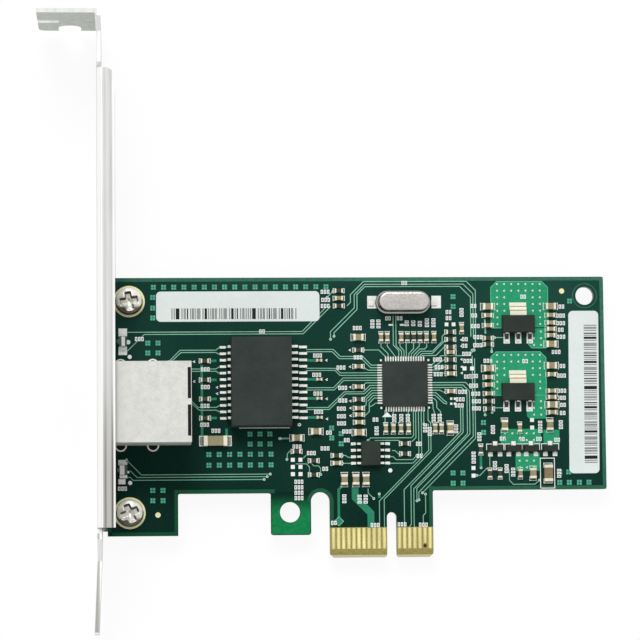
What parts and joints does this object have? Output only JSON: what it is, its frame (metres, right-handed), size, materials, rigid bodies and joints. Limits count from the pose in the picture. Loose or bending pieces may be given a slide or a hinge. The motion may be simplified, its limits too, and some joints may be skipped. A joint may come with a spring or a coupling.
{
  "type": "network interface card",
  "caption": "Green expansion card with a shielded network socket, a full-height metal bracket, a short card-edge connector and small surface-mount parts.",
  "frame": {"origin": "middle of the key notch on the connector's lower edge, half way through the board's thickness", "axes": "+X along the board away from the bracket, +Y along the bracket towards its screw tab, +Z out of the component side of the board"},
  "size_m": [0.1115, 0.12, 0.0216],
  "materials": {
    "board_laminate": "green solder mask, satin",
    "gold_plating": "polished",
    "bracket_plate": "bright plated, satin",
    "screw_steel": "plated, satin",
    "shield_plate": "tin plated, satin",
    "socket_plastic": "moulded",
    "light_body": "moulded",
    "light_lens": "clear tinted",
    "tinned_metal": "tinned, satin",
    "moulded_epoxy": "moulded",
    "can_metal": "drawn, satin",
    "capacitor_ceramic": "fired, matt",
    "resistor_glaze": "glazed black",
    "label_film": "matt"
  },
  "bodies": {
    "root": {"circuit_board": "board_laminate", "edge_contacts_front": "gold_plating", "edge_contacts_back": "gold_plating", "mounting_bracket": "bracket_plate", "bracket_screws": "screw_steel", "jack_shield": "shield_plate", "jack_housing": "socket_plastic", "jack_contacts": "gold_plating", "status_led_bodies": "light_body", "status_led_lenses": "light_lens", "status_led_ends": "tinned_metal", "transformer_body": "moulded_epoxy", "transformer_leads": "tinned_metal", "controller_body": "moulded_epoxy", "controller_contacts": "tinned_metal", "memory_chip_body": "moulded_epoxy", "memory_chip_leads": "tinned_metal", "crystal_base": "socket_plastic", "crystal_can": "can_metal", "crystal_leads": "tinned_metal", "transistor_bodies": "moulded_epoxy", "transistor_leads": "tinned_metal", "address_label": "label_film", "serial_label": "label_film", "regulator_1_body": "moulded_epoxy", "regulator_1_leads": "tinned_metal", "regulator_2_body": "moulded_epoxy", "regulator_2_leads": "tinned_metal", "tiny_capacitor_bodies": "capacitor_ceramic", "tiny_capacitor_ends": "tinned_metal", "small_capacitor_bodies": "capacitor_ceramic", "small_capacitor_ends": "tinned_metal", "medium_capacitor_bodies": "capacitor_ceramic", "medium_capacitor_ends": "tinned_metal", "large_capacitor_bodies": "capacitor_ceramic", "large_capacitor_ends": "tinned_metal", "surge_capacitor_bodies": "capacitor_ceramic", "surge_capacitor_ends": "tinned_metal", "small_resistor_bodies": "resistor_glaze", "small_resistor_ends": "tinned_metal"}
  },
  "joints": []
}
